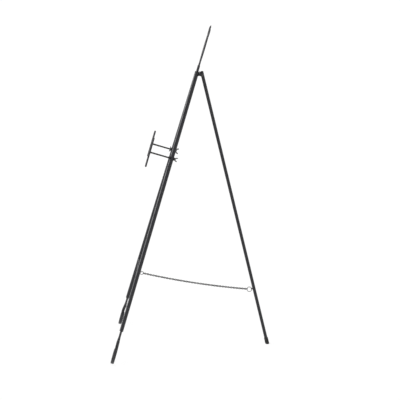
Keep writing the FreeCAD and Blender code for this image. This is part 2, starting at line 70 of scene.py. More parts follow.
# ---------------------------------------------------------------- placing

SLIDE = Vector(JOINTS["holder_depth_right"]["axis"])
LEAN = math.atan2(-SLIDE.z, SLIDE.y)
HOLDER_PIVOT = Vector(JOINTS["holder_turn_right"]["pos_m"])
HOLDER_X = HOLDER_PIVOT.x
HOLDER_UP = HOLDER_PIVOT.z / math.cos(LEAN)
FLOOR_LINE_Y = HOLDER_PIVOT.y - HOLDER_UP * math.sin(LEAN)
HINGE = Vector(JOINTS["rear_leg_fold"]["pos_m"])
REAR_LEAN = math.radians(13.43)    # of the open rear leg, away from upright


def front_point(x, back, up):
    """A point of the leaning front, in the model's frame."""
    y = FLOOR_LINE_Y + back * math.cos(LEAN) + up * math.sin(LEAN)
    return Vector((x, y, up * math.cos(LEAN) - back * math.sin(LEAN)))


def rear_point(x, back, up):
    """A point of the rear leg, from its hinge, in the model's frame."""
    y = back * math.cos(REAR_LEAN) - up * math.sin(REAR_LEAN)
    z = back * math.sin(REAR_LEAN) + up * math.cos(REAR_LEAN)
    return HINGE + Vector((x, y, z))


def centre_of(node):
    """Middle of a CAD node's box at rest."""
    low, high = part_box(node)
    return (Vector(low) + Vector(high)) / 2


# ---------------------------------------------------------------- camera, floor and light

CAMERA_LENS = 111.75    # mm, for a sensor 36 mm wide
CAMERA_PLACE = Vector((5.8384, 0.1180, 2.5362))
CAMERA_YAW = -0.0133    # radians away from -X
CAMERA_PITCH = 0.2951   # radians below level
FLOOR_HALF = 40.0
FLOOR_DROP = 0.0004     # keeps the floor clear of the faces that stand on it
PAPER = 0.14            # the floor's own grey; the rest of its white is given off
PAPER_GLOW = 0.88
SUNS = (                # name, way to the light, its width in degrees, strength
    ("front", (-0.22, -0.94, 0.09), 34, 1.75),
    ("top", (0.05, -0.60, 0.80), 36, 1.6),
    ("fill", (0.55, 0.60, 0.60), 60, 0.4),
)
SKY_FADE = {"From Min": 0.05, "From Max": 0.55, "To Min": 1.0, "To Max": 0.42}


def look(location, yaw, pitch):
    """Rotation matrix of a camera that looks along -X, turned by yaw and tilted down by pitch."""
    ahead = Vector((-math.cos(yaw) * math.cos(pitch), math.sin(yaw) * math.cos(pitch), -math.sin(pitch)))
    right = ahead.cross(Z_AXIS).normalized()
    up = right.cross(ahead)
    turn = Matrix((right, up, -ahead)).transposed().to_4x4()
    return Matrix.Translation(location) @ turn


def make_camera():
    data = bpy.data.cameras.new("camera")
    data.lens = CAMERA_LENS
    data.sensor_width = 36.0
    data.clip_end = 200.0
    camera = bpy.data.objects.new("camera", data)
    bpy.context.scene.collection.objects.link(camera)
    camera.matrix_world = look(CAMERA_PLACE, CAMERA_YAW, CAMERA_PITCH)
    bpy.context.scene.camera = camera


def soft_sun(name, direction, spread, strength):
    """Even light from a direction, as wide as a big soft box."""
    data = bpy.data.lights.new(name, "SUN")
    data.angle = math.radians(spread)
    data.energy = strength
    light = bpy.data.objects.new(name, data)
    bpy.context.scene.collection.objects.link(light)
    light.rotation_euler = Vector(direction).to_track_quat("Z", "Y").to_euler()


def make_studio():
    mesh = bpy.data.meshes.new("floor")
    corners = [(FLOOR_HALF * x, FLOOR_HALF * y, 0) for x, y in ((-1, -1), (1, -1), (1, 1), (-1, 1))]
    mesh.from_pydata(corners, [], [(0, 1, 2, 3)])
    floor = bpy.data.objects.new("floor", mesh)
    floor.location.z = -FLOOR_DROP
    bpy.context.scene.collection.objects.link(floor)
    paper = bpy.data.materials.new("floor_paper")
    paper.use_nodes = True
    shader = paper.node_tree.nodes["Principled BSDF"]
    shader.inputs["Base Color"].default_value = (PAPER, PAPER, PAPER, 1)
    shader.inputs["Roughness"].default_value = 0.95
    shader.inputs["Specular IOR Level"].default_value = 0.1
    shader.inputs["Emission Color"].default_value = (1, 1, 1, 1)
    shader.inputs["Emission Strength"].default_value = PAPER_GLOW
    mesh.materials.append(paper)

    make_world()
    bpy.context.scene.view_settings.view_transform = "Standard"
    for sun in SUNS:
        soft_sun(*sun)


def make_world():
    """White at the horizon, where it meets the floor, and dimmer overhead."""
    world = bpy.data.worlds.new("studio")
    world.use_nodes = True
    bpy.context.scene.world = world
    tree = world.node_tree
    sky = tree.nodes["Background"]
    sky.inputs["Color"].default_value = (1.0, 1.0, 1.0, 1)
    where = tree.nodes.new("ShaderNodeTexCoord")
    split = tree.nodes.new("ShaderNodeSeparateXYZ")
    tree.links.new(where.outputs["Generated"], split.inputs["Vector"])
    fade = tree.nodes.new("ShaderNodeMapRange")
    fade.interpolation_type = "SMOOTHSTEP"
    for key, number in SKY_FADE.items():
        fade.inputs[key].default_value = number
    tree.links.new(split.outputs["Z"], fade.inputs["Value"])
    tree.links.new(fade.outputs["Result"], sky.inputs["Strength"])


make_camera()
make_studio()


# ---------------------------------------------------------------- materials

# Colours are linear, noise scales are per metre, and bump distances are in metres.
DUST = (0.060, 0.058, 0.054)
PAINT_SPECULAR = 0.44
RUBBER_SPECULAR = 0.35
FOOT_RUB_UP = 4.5 * MM       # what touches the floor is rubbed up to here
RUBBER_SCUFF_UP = 14.0 * MM


class Nodes:
    """Short ways to add and join shader nodes of one material."""

    def __init__(self, name):
        self.material = bpy.data.materials.new(name)
        self.material.use_nodes = True
        self.tree = self.material.node_tree
        self.shader = self.tree.nodes["Principled BSDF"]

    def add(self, kind, **values):
        node = self.tree.nodes.new(kind)
        for key, value in values.items():
            setattr(node, key, value)
        return node

    def join(self, output, socket):
        self.tree.links.new(output, socket)

    def place(self):
        return self.add("ShaderNodeTexCoord").outputs["Object"]

    def noise(self, scale, detail, roughness):
        node = self.add("ShaderNodeTexNoise")
        node.inputs["Scale"].default_value = scale
        node.inputs["Detail"].default_value = detail
        node.inputs["Roughness"].default_value = roughness
        self.join(self.place(), node.inputs["Vector"])
        return node.outputs["Fac"]

    def ramp(self, value, low, high, start=0.0, end=1.0):
        """start where value is low or less, end where it is high or more, and smooth between."""
        node = self.add("ShaderNodeMapRange", interpolation_type="SMOOTHSTEP")
        for key, number in zip(("From Min", "From Max", "To Min", "To Max"), (low, high, start, end)):
            node.inputs[key].default_value = number
        self.join(value, node.inputs["Value"])
        return node.outputs["Result"]

    def maths(self, operation, first, second):
        node = self.add("ShaderNodeMath", operation=operation)
        for index, value in enumerate((first, second)):
            if isinstance(value, (int, float)):
                node.inputs[index].default_value = value
            else:
                self.join(value, node.inputs[index])
        return node.outputs["Value"]

    def mix(self, share, first, second):
        """Mix of two colours, each a tuple or an output."""
        node = self.add("ShaderNodeMix", data_type="RGBA")
        self.join(share, node.inputs["Factor"])
        for key, value in (("A", first), ("B", second)):
            socket = next(s for s in node.inputs if s.name == key and s.type == "RGBA")
            if isinstance(value, tuple):
                socket.default_value = value + (1,)
            else:
                self.join(value, socket)
        return next(s for s in node.outputs if s.type == "RGBA")

    def bump(self, height, distance, strength, before=None):
        node = self.add("ShaderNodeBump")
        node.inputs["Distance"].default_value = distance
        node.inputs["Strength"].default_value = strength
        self.join(height, node.inputs["Height"])
        if before is not None:
            self.join(before, node.inputs["Normal"])
        return node.outputs["Normal"]

    def upward(self):
        """1 on surfaces that face up, and 0 on those that face sideways or down."""
        split = self.add("ShaderNodeSeparateXYZ")
        self.join(self.add("ShaderNodeNewGeometry").outputs["Normal"], split.inputs["Vector"])
        return self.ramp(split.outputs["Z"], 0.35, 1.0)

    def edges(self, low, high):
        """1 along convex edges, where paint rubs off first."""
        return self.ramp(self.add("ShaderNodeNewGeometry").outputs["Pointiness"], low, high)

    def height(self):
        split = self.add("ShaderNodeSeparateXYZ")
        self.join(self.place(), split.inputs["Vector"])
        return split.outputs["Z"]

    def clouded(self, cloud, dark, light):
        """Base colour that drifts between two near shades."""
        return self.mix(self.ramp(cloud, 0.35, 0.65), dark, light)

    def dust(self, most):
        """Share of dust: patches on the faces that look up, no thicker than most."""
        patches = self.ramp(self.noise(90.0, 5.0, 0.65), 0.40, 0.75, 0.0, most)
        return self.maths("MULTIPLY", self.upward(), patches)

    def roughness(self, cloud, low, high, dust_share, worn):
        """Cloudy between low and high, and rougher under dust and where the paint is worn."""
        dusty = self.maths("MULTIPLY", dust_share, 0.5)
        rough = self.maths("ADD", self.ramp(cloud, 0.3, 0.7, low, high), dusty)
        return self.maths("ADD", rough, self.maths("MULTIPLY", worn, 0.12))

    def set(self, **values):
        for key, value in values.items():
            self.shader.inputs[key.replace("_", " ")].default_value = value

    def finish(self, colour, roughness, normal):
        self.join(colour, self.shader.inputs["Base Color"])
        self.join(roughness, self.shader.inputs["Roughness"])
        self.join(normal, self.shader.inputs["Normal"])
        return self.material


def black_paint(name):
    """Semi-gloss black powder coat: fine orange peel, faint cloudiness, and dust on top faces."""
    n = Nodes(name)
    n.set(Specular_IOR_Level=PAINT_SPECULAR)
    cloud = n.noise(22.0, 4.0, 0.6)
    base = n.clouded(cloud, (0.0040, 0.0039, 0.0072), (0.0072, 0.0070, 0.0104))
    dust_share = n.dust(0.30)
    colour = n.mix(dust_share, base, DUST)
    scratch = n.ramp(n.noise(420.0, 2.0, 0.4), 0.69, 0.74)
    patch = n.ramp(n.noise(9.0, 2.0, 0.5), 0.54, 0.66)
    worn = n.maths("MULTIPLY", scratch, patch)
    colour = n.mix(worn, colour, (0.115, 0.110, 0.105))
    gloss = n.roughness(cloud, 0.30, 0.38, dust_share, worn)
    peel = n.noise(620.0, 2.0, 0.45)
    ripple = n.noise(130.0, 2.0, 0.5)
    normal = n.bump(ripple, 0.00016, 0.40)
    normal = n.bump(peel, 0.00010, 0.60, normal)
    return n.finish(colour, gloss, normal)


def forged_paint(name, foot_wear=False):
    """A thinner, greyer coat on forged bar: hammer marks show through, and edges wear bright."""
    n = Nodes(name)
    n.set(Specular_IOR_Level=PAINT_SPECULAR)
    cloud = n.noise(30.0, 4.0, 0.6)
    base = n.clouded(cloud, (0.0150, 0.0148, 0.0180), (0.0255, 0.0250, 0.0285))
    dust_share = n.dust(0.32)
    colour = n.mix(dust_share, base, DUST)
    scratch = n.ramp(n.noise(380.0, 2.0, 0.4), 0.67, 0.73)
    patch = n.ramp(n.noise(11.0, 2.0, 0.5), 0.50, 0.62)
    worn = n.maths("MULTIPLY", scratch, patch)
    broken = n.ramp(n.noise(75.0, 4.0, 0.6), 0.38, 0.62, 0.0, 0.55)
    worn = n.maths("MAXIMUM", worn, n.maths("MULTIPLY", n.edges(0.52, 0.60), broken))
    if foot_wear:
        rub = n.ramp(n.height(), FOOT_RUB_UP, 0.0)
        ragged = n.ramp(n.noise(260.0, 4.0, 0.6), 0.38, 0.62)
        worn = n.maths("MAXIMUM", worn, n.maths("MULTIPLY", rub, ragged))
    colour = n.mix(worn, colour, (0.120, 0.114, 0.108))
    gloss = n.roughness(cloud, 0.40, 0.50, dust_share, worn)
    hammer = n.add("ShaderNodeTexVoronoi", feature="SMOOTH_F1")
    hammer.inputs["Scale"].default_value = 95.0
    n.join(n.place(), hammer.inputs["Vector"])
    normal = n.bump(hammer.outputs["Distance"], 0.0013, 0.7)
    normal = n.bump(n.noise(620.0, 2.0, 0.45), 0.00006, 0.5, normal)
    return n.finish(colour, gloss, normal)


def black_oxide(name):
    """Black-oxide steel fasteners: thin dark film, rubbed brighter here and there."""
    n = Nodes(name)
    n.set(Metallic=0.85)
    rubbed = n.ramp(n.noise(160.0, 5.0, 0.65), 0.50, 0.72)
    grime = n.ramp(n.noise(60.0, 4.0, 0.6), 0.35, 0.65)
    base = n.mix(grime, (0.050, 0.050, 0.052), (0.080, 0.079, 0.078))
    colour = n.mix(rubbed, base, (0.135, 0.132, 0.128))
    gloss = n.maths("SUBTRACT", n.ramp(grime, 0.0, 1.0, 0.44, 0.34), n.maths("MULTIPLY", rubbed, 0.06))
    normal = n.bump(n.noise(900.0, 3.0, 0.5), 0.00003, 0.6)
    return n.finish(colour, gloss, normal)


def zinc_steel(name, dull_scale):
    """Zinc-plated chain and ring wire, gone dull and dark, with darker spots."""
    n = Nodes(name)
    n.set(Metallic=1.0)
    dull = n.ramp(n.noise(dull_scale, 5.0, 0.6), 0.36, 0.66)
    spots = n.ramp(n.noise(700.0, 3.0, 0.5), 0.62, 0.74)
    base = n.mix(dull, (0.135, 0.135, 0.137), (0.075, 0.074, 0.072))
    colour = n.mix(spots, base, (0.035, 0.033, 0.030))
    gloss = n.maths("ADD", n.ramp(dull, 0.0, 1.0, 0.26, 0.42), n.maths("MULTIPLY", spots, 0.15))
    normal = n.bump(n.noise(1500.0, 2.0, 0.5), 0.00002, 0.6)
    return n.finish(colour, gloss, normal)


def black_rubber(name):
    """Matt rubber ferrule: fine moulded grain, and paler scuffs near the floor."""
    n = Nodes(name)
    n.set(Specular_IOR_Level=RUBBER_SPECULAR)
    cloud = n.noise(70.0, 4.0, 0.6)
    base = n.clouded(cloud, (0.012, 0.012, 0.012), (0.022, 0.0215, 0.021))
    low = n.ramp(n.height(), RUBBER_SCUFF_UP, 0.0, 0.0, 0.8)
    scuff = n.maths("MULTIPLY", low, n.ramp(n.noise(240.0, 5.0, 0.65), 0.42, 0.66))
    colour = n.mix(scuff, base, (0.075, 0.072, 0.067))
    gloss = n.ramp(cloud, 0.3, 0.7, 0.68, 0.80)
    normal = n.bump(n.noise(1100.0, 3.0, 0.6), 0.00005, 0.7)
    return n.finish(colour, gloss, normal)


def black_plastic(name):
    """Moulded tube cap: satin, with a very fine spark-eroded grain."""
    n = Nodes(name)
    cloud = n.noise(50.0, 3.0, 0.5)
    base = n.clouded(cloud, (0.0095, 0.0095, 0.0098), (0.0150, 0.0148, 0.0145))
    scratch = n.ramp(n.noise(500.0, 2.0, 0.4), 0.66, 0.72)
    colour = n.mix(scratch, base, (0.045, 0.044, 0.042))
    gloss = n.maths("ADD", n.ramp(cloud, 0.3, 0.7, 0.40, 0.48), n.maths("MULTIPLY", scratch, 0.15))
    normal = n.bump(n.noise(1600.0, 2.0, 0.5), 0.00003, 0.7)
    return n.finish(colour, gloss, normal)


PAINT = black_paint("powder_coat_black")
FORGED = forged_paint("forged_bar_black")
FOOT_PAINT = forged_paint("forged_foot_black", foot_wear=True)
OXIDE = black_oxide("black_oxide_steel")
ZINC = zinc_steel("zinc_chain_steel", 140.0)
RING_ZINC = zinc_steel("zinc_ring_steel", 180.0)
RUBBER = black_rubber("ferrule_rubber")
PLASTIC = black_plastic("cap_plastic")


# ---------------------------------------------------------------- mesh making

class Shape:
    """Points and faces of one piece, made of closed skins."""

    def __init__(self):
        self.points = []
        self.faces = []

    def skin(self, rings, closed=False):
        """Skin over rings of equally many points: joined end to end if closed, or else capped."""
        base = len(self.points)
        size = len(rings[0])
        for ring in rings:
            self.points += [tuple(p) for p in ring]
        spans = len(rings) if closed else len(rings) - 1
        for row in range(spans):
            here = base + row * size
            there = base + (row + 1) % len(rings) * size
            for k in range(size):
                after = (k + 1) % size
                self.faces.append((here + k, here + after, there + after, there + k))
        if not closed:
            self.faces.append(tuple(base + k for k in reversed(range(size))))
            last = base + (len(rings) - 1) * size
            self.faces.append(tuple(last + k for k in range(size)))

    def object(self, name, material, crease=None):
        mesh = bpy.data.meshes.new(name)
        mesh.from_pydata(self.points, [], self.faces)
        edit = bmesh.new()
        edit.from_mesh(mesh)
        bmesh.ops.recalc_face_normals(edit, faces=edit.faces)
        edit.to_mesh(mesh)
        edit.free()
        mesh.shade_smooth()
        if crease is not None:
            mesh.set_sharp_from_angle(angle=math.radians(crease))
        piece = bpy.data.objects.new(name, mesh)
        bpy.context.scene.collection.objects.link(piece)
        mesh.materials.append(material)
        return piece


def add_piece(shape, name, material, body, stands_for=(), crease=None):
    piece = shape.object(name, material, crease)
    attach(piece, body)
    if stands_for:
        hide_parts(*stands_for)
    return piece


def oval(half_a, half_b, power, count):
    """Superellipse: 2 is an ellipse, and more makes it squarer."""
    spots = []
    for k in range(count):
        turn = 2 * math.pi * (k + 0.5) / count
        c, s = math.cos(turn), math.sin(turn)
        a = math.copysign(abs(c) ** (2 / power), c) * half_a
        b = math.copysign(abs(s) ** (2 / power), s) * half_b
        spots.append((a, b))
    return spots


def turns(count):
    """Angles of equally many steps round a circle."""
    return [2 * math.pi * k / count for k in range(count)]


def circle(centre, side, other, radius, count):
    """Circle of points in the plane of two unit vectors."""
    return [centre + (side * math.cos(turn) + other * math.sin(turn)) * radius for turn in turns(count)]


def disc_ring(centre, axis, radius, count):
    """Circle of points about an axis."""
    side = axis.orthogonal().normalized()
    return circle(centre, side, axis.cross(side).normalized(), radius, count)


class Path:
    """Straight runs (length,) and turns (radius, degrees) in the front's middle plane."""

    def __init__(self, start, heading, moves):
        self.parts = []
        x, up = start
        heading = math.radians(heading)
        self.length = 0.0
        for move in moves:
            turn = 0.0 if len(move) == 1 else math.radians(move[1])
            length = move[0] if len(move) == 1 else move[0] * abs(turn)
            part = (self.length, length, x, up, heading, turn)
            self.parts.append(part)
            x, up, heading = self.inside(part, length)
            self.length += length

    @staticmethod
    def inside(part, travel):
        _, length, x, up, heading, turn = part
        if turn == 0.0:
            return x + travel * math.cos(heading), up + travel * math.sin(heading), heading
        radius = length / turn
        after = heading + turn * travel / length
        x += radius * (math.sin(after) - math.sin(heading))
        up -= radius * (math.cos(after) - math.cos(heading))
        return x, up, after

    def at(self, travel):
        travel = min(max(travel, 0.0), self.length)
        part = next((p for p in self.parts if travel <= p[0] + p[1]), self.parts[-1])
        return self.inside(part, travel - part[0])


NOSE_STEPS = 6


def stations(length, step, nose):
    """Distances along a bar, close together in its rounded ends."""
    count = max(2, round((length - 2 * nose) / step))
    spots = [nose + (length - 2 * nose) * k / count for k in range(count + 1)]
    ends = [nose * (1 - math.cos(math.pi / 2 * k / NOSE_STEPS)) for k in range(NOSE_STEPS)]
    return ends + spots + [length - e for e in reversed(ends)]


def rounding(travel, length, nose):
    """Share of the full section that is left inside a rounded end."""
    near = min(travel, length - travel)
    if near >= nose:
        return 1.0
    return math.sqrt(max(0.0, 1 - (1 - near / nose) ** 2))


def section_ring(place, section):
    """Ring of a bar's section at a place (x, up, heading) of its path, as (x, back, up) points."""
    x, up, heading = place
    across_x, across_up = -math.sin(heading), math.cos(heading)
    return [(x + a * across_x, b, up + a * across_up) for a, b in section]


def smooth_step(value, low, high):
    """0 up to low, 1 from high on, and smooth between."""
    share = min(max((value - low) / (high - low), 0.0), 1.0)
    return share * share * (3 - 2 * share)


def sided(rings, side, back=0.0):
    """Rings drawn for the right side as (x, back, up), placed on this side of the front."""
    sign = SIDES[side]
    return [[front_point(sign * x, b + back, up) for x, b, up in ring] for ring in rings]


# ---------------------------------------------------------------- sizes shared with the CAD model

TUBE_R = 9.5 * MM
LEG_FOOT_X, LEG_TOP_X = 252.0 * MM, 14.0 * MM
LEG_TOP, LEG_BOTTOM = 1456.0 * MM, 165.0 * MM
REAR_TUBE_R = 8.0 * MM
CROSSBAR_R = 4.75 * MM
CROSSBAR_UP = 404.7 * MM
FOOT_ROD_R = 5.5 * MM
STAPLE_LEG_X = 3.7 * MM


def leg_x(up):
    return LEG_FOOT_X + (LEG_TOP_X - LEG_FOOT_X) * up / LEG_TOP


LEG_UP = Vector((LEG_TOP_X - LEG_FOOT_X, 0, LEG_TOP)).normalized()
LEG_HEADING = math.degrees(math.atan2(LEG_UP.z, LEG_UP.x))


# ---------------------------------------------------------------- chain

LINK_WIRE = 1.5 * MM         # radius
LINK_HALF_WIDTH = 3.4 * MM   # to the wire's middle
LINK_HALF_RUN = 1.7 * MM     # half of a link's straight side
LINK_COUNT = 75
LINK_BEND_STEPS, LINK_RUN_STEPS = 8, 3
LINK_WELD_SWELL = 1.13
LINK_TWIST = 7               # degrees that a link may lie askew
LINK_THINNEST = 0.985        # share of its wire that the thinnest link has
WIRE_SIDES = 10
CHAIN_SAG = 10.0 * MM
CHAIN_IN_FRONT = 5.35 * MM   # ring centre to the middle of the end link's wire
CHAIN_IN_REAR = 8.9 * MM


def chain_path():
    """The chain's hanging curve, a shallow parabola from ring to ring, read from its spline."""
    front = centre_of("chain_front_ring")
    rear = centre_of("chain_rear_ring")
    run = (rear - front).normalized()
    start, end = front + run * CHAIN_IN_FRONT, rear - run * CHAIN_IN_REAR
    low = (start + end) / 2 - Z_AXIS * (2 * CHAIN_SAG)
    curve = bpy.data.curves.new("chain_line", "CURVE")
    curve.dimensions = "3D"
    spline = curve.splines.new("NURBS")
    spline.points.add(2)
    for point, spot in zip(spline.points, (start, low, end)):
        point.co = (*spot, 1)
    spline.order_u = 3
    spline.use_endpoint_u = True
    spline.resolution_u = 96
    holder = bpy.data.objects.new("chain_line", curve)
    mesh = bpy.data.meshes.new_from_object(holder)
    points = [v.co.copy() for v in mesh.vertices]
    bpy.data.objects.remove(holder)
    bpy.data.curves.remove(curve)
    bpy.data.meshes.remove(mesh)
    return points


def travels_of(points):
    """Distance travelled at each point of a line."""
    travel = [0.0]
    for before, after in zip(points, points[1:]):
        travel.append(travel[-1] + (after - before).length)
    return travel


def point_along(points, travel, place):
    """Point and direction at a distance along a line of points."""
    spot = next((k for k in range(1, len(points)) if travel[k] >= place), len(points) - 1)
    way = points[spot] - points[spot - 1]
    share = (place - travel[spot - 1]) / (travel[spot] - travel[spot - 1])
    return points[spot - 1] + way * share, way.normalized()


def link_rings(centre, way, flat, wire):
    """One oval link of round wire, its long way along way, lying in the plane of way and flat."""
    through = way.cross(flat).normalized()
    rings = []
    for sign in (1, -1):
        for k in range(LINK_BEND_STEPS):
            turn = math.pi * k / LINK_BEND_STEPS
            out = flat * (sign * math.cos(turn)) + way * (sign * math.sin(turn))
            middle = centre + way * (sign * LINK_HALF_RUN) + out * LINK_HALF_WIDTH
            rings.append(circle(middle, out, through, wire, WIRE_SIDES))
        for k in range(LINK_RUN_STEPS):
            out = flat * -sign
            along_run = LINK_HALF_RUN * (1 - 2 * k / LINK_RUN_STEPS)
            middle = centre + way * (sign * along_run) + out * LINK_HALF_WIDTH
            swell = LINK_WELD_SWELL if sign == 1 and k == 1 else 1.0
            rings.append(circle(middle, out, through, wire * swell, WIRE_SIDES))
    return rings


def make_chain():
    draws = random.Random(41)
    path = chain_path()
    travel = travels_of(path)
    reach = LINK_HALF_RUN + LINK_HALF_WIDTH
    pitch = (travel[-1] - 2 * reach) / (LINK_COUNT - 1)
    shape = Shape()
    for index in range(LINK_COUNT):
        centre, way = point_along(path, travel, reach + index * pitch)
        upright = X_AXIS.cross(way).normalized()
        twist = math.radians(draws.uniform(-LINK_TWIST, LINK_TWIST))
        if index in (0, LINK_COUNT - 1):
            twist = 0.0
        if index % 2:
            twist += math.pi / 2
        flat = X_AXIS * math.cos(twist) + upright * math.sin(twist)
        wire = LINK_WIRE * draws.uniform(LINK_THINNEST, 1.0)
        shape.skin(link_rings(centre, way, flat, wire), closed=True)
    piece = shape.object("chain", ZINC)
    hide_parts("chain_links")
    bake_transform(piece)


make_chain()


# ---------------------------------------------------------------- weld beads

WELD_RIPPLE = 2.2 * MM
CROSSBAR_BEAD, FOOT_BEAD, BRACKET_BEAD = 1.5 * MM, 1.4 * MM, 1.3 * MM    # radii
STEM_BEAD, STAPLE_BEAD, UPRIGHT_BEAD = 1.6 * MM, 0.9 * MM, 1.1 * MM
CROSSBAR_WELD_OUT, FOOT_WELD_OUT = 0.7 * MM, 0.9 * MM    # beyond the rod's surface
WELD_STAND = 0.2 * MM               # how far a bead's line stands off the metal that it runs on
BRACKET_WELD_UP = 1445.4 * MM
BRACKET_WELD_TURN = 34              # degrees to each side of a tube's back
STEM_WELD_UP, STEM_WELD_RUN = 1429.0 * MM, 24.0 * MM
STEM_GROOVE_X, STEM_GROOVE_BACK = 4.4 * MM, 3.4 * MM
STAPLE_WELD_R = 2.1 * MM
UPRIGHT_WELD_R = 4.4 * MM


def bead_rings(points, radius, closed, draws):
    """Rings of a weld bead that runs along points, with the ripples of its making."""
    count = len(points)
    rings = []
    travel = 0.0
    side = None
    for k, point in enumerate(points):
        before = points[k - 1] if k or closed else points[k]
        after = points[(k + 1) % count] if k < count - 1 or closed else points[k]
        way = (after - before).normalized()
        if side is None:
            side = way.orthogonal().normalized()
        side = (side - way * side.dot(way)).normalized()
        other = way.cross(side)
        if k:
            travel += (point - points[k - 1]).length
        wave = abs(math.sin(math.pi * travel / WELD_RIPPLE))
        size = radius * (0.84 + 0.16 * wave + draws.uniform(-0.03, 0.03))
        if not closed:
            near = min(k, count - 1 - k) / 3
            size *= math.sqrt(max(0.02, 1 - (1 - min(near, 1.0)) ** 2))
        rings.append(circle(point, side, other, size, WIRE_SIDES))
    return rings


def leg_inner_x(up, back):
    """X of the right tube's inner side at a height."""
    return leg_x(up) - math.sqrt(max(0.0, TUBE_R ** 2 - back ** 2)) / LEG_UP.z


def crossbar_weld(shape, side, draws):
    """Bead all round the crossbar's end, on the tube's inner side."""
    radius = CROSSBAR_R + CROSSBAR_WELD_OUT
    points = []
    for turn in turns(48):
        back, up = radius * math.cos(turn), CROSSBAR_UP + radius * math.sin(turn)
        x = leg_inner_x(up, back) - 0.3 * MM
        points.append(front_point(SIDES[side] * x, back, up))
    shape.skin(bead_rings(points, CROSSBAR_BEAD, True, draws), closed=True)


def foot_weld(shape, side, draws):
    """Bead round the foot's rod where it leaves the tube's lower end."""
    radius = FOOT_ROD_R + FOOT_WELD_OUT
    axis = Vector((SIDES[side] * LEG_UP.x, 0, LEG_UP.z))
    centre = Vector((SIDES[side] * leg_x(LEG_BOTTOM), 0, LEG_BOTTOM)) - axis * WELD_STAND
    points = [front_point(*p) for p in disc_ring(centre, axis, radius, 48)]
    shape.skin(bead_rings(points, FOOT_BEAD, True, draws), closed=True)


def bracket_weld(shape, side, draws):
    """Short bead across a tube's back, under the hinge bracket's plate."""
    count = 15
    radius = TUBE_R + WELD_STAND
    points = []
    for k in range(count):
        turn = math.radians(BRACKET_WELD_TURN * (2 * k / (count - 1) - 1))
        x = leg_x(BRACKET_WELD_UP) + radius * math.sin(turn)
        points.append(front_point(SIDES[side] * x, radius * math.cos(turn), BRACKET_WELD_UP))
    shape.skin(bead_rings(points, BRACKET_BEAD, False, draws))


def stem_weld(shape, side, face, draws):
    """Bead down the groove between the crest's stem and a tube, on the front or the back."""
    count = 22
    points = []
    for k in range(count):
        up = STEM_WELD_UP + STEM_WELD_RUN * k / (count - 1)
        points.append(front_point(SIDES[side] * STEM_GROOVE_X, face * STEM_GROOVE_BACK, up))
    shape.skin(bead_rings(points, STEM_BEAD, False, draws))


def rear_along(point):
    """Height up the rear leg from its hinge, of a point in the model's frame."""
    way = point - HINGE
    return way.z * math.cos(REAR_LEAN) - way.y * math.sin(REAR_LEAN)


def staple_weld(shape, draws):
    """Beads round both ends of the chain's staple, on the front of the rear tube."""
    ring_up = rear_along(centre_of("chain_rear_ring"))
    for sign in (-1, 1):
        points = []
        for turn in turns(24):
            x = sign * STAPLE_LEG_X + STAPLE_WELD_R * math.cos(turn)
            back = -math.sqrt(max(0.0, REAR_TUBE_R ** 2 - x * x)) - 0.1 * MM
            points.append(rear_point(x, back, ring_up + STAPLE_WELD_R * math.sin(turn)))
        shape.skin(bead_rings(points, STAPLE_BEAD, True, draws), closed=True)


def make_welds():
    draws = random.Random(7)
    for side in SIDES:
        shape = Shape()
        crossbar_weld(shape, side, draws)
        add_piece(shape, "crossbar_weld_" + side, PAINT, FRONT)
        shape = Shape()
        foot_weld(shape, side, draws)
        add_piece(shape, "foot_weld_" + side, PAINT, FRONT)
    shape = Shape()
    for side in SIDES:
        bracket_weld(shape, side, draws)
        for face in (-1, 1):
            stem_weld(shape, side, face, draws)
    add_piece(shape, "crest_and_bracket_welds", PAINT, FRONT)
    shape = Shape()
    staple_weld(shape, draws)
    add_piece(shape, "staple_welds", PAINT, REAR)


make_welds()


# ---------------------------------------------------------------- feet

FOOT_THIN, FOOT_WIDE = 2.75 * MM, 7.7 * MM    # half thickness and half width of the forged bar
FOOT_INSERT = 24.0 * MM
FOOT_STRAIGHT = 50.0 * MM       # first guess; the real length puts the scroll on the floor
FOOT_CURL = [(45 * MM, 65), (44 * MM, -164), (38 * MM, -90), (28 * MM, -90), (20 * MM, -90), (13 * MM, -60)]
FOOT_NOSE = 2.5 * MM
FOOT_STEP = 2.4 * MM
HAMMER_PITCH, HAMMER_DRIFT = 12.5 * MM, 31.0 * MM
FOOT_THINNING, FOOT_SPREADING = 0.30, 0.16    # of the bar at its fishtail end
FOOT_DENTS, FOOT_SIDE_DENTS = 0.07, 0.025     # depth of the hammer's flats, as shares
FOOT_SQUARENESS = 3.2


def hammered(travel, depth):
    """Share of a forged bar's size that the hammer left here: shallow flats about 12 mm apart."""
    drift = 1.4 * math.sin(2 * math.pi * travel / HAMMER_DRIFT)
    wave = math.sin(2 * math.pi * travel / HAMMER_PITCH + drift)
    return 1 - depth * (0.5 + 0.5 * wave)


def foot_section(travel, bend, length):
    """Round rod that is drawn out into a flat bar at the bend, and thinned to a fishtail end."""
    flat = smooth_step(travel, bend - 4 * MM, bend + 20 * MM)
    tail = smooth_step(travel, length - 34 * MM, length - 4 * MM)
    swell = 1.0 * MM * math.exp(-((travel - bend) / (5 * MM)) ** 2)
    thin = FOOT_ROD_R + (FOOT_THIN - FOOT_ROD_R) * flat + swell
    wide = FOOT_ROD_R + (FOOT_WIDE - FOOT_ROD_R) * flat + swell * 0.6
    thin *= (1 - FOOT_THINNING * tail) * hammered(travel, FOOT_DENTS * flat)
    wide *= (1 + FOOT_SPREADING * tail) * hammered(travel + 5 * MM, FOOT_SIDE_DENTS * flat)
    left = rounding(travel, length, FOOT_NOSE)
    return oval(thin * left, wide * left, 2.0 + FOOT_SQUARENESS * flat, 28)


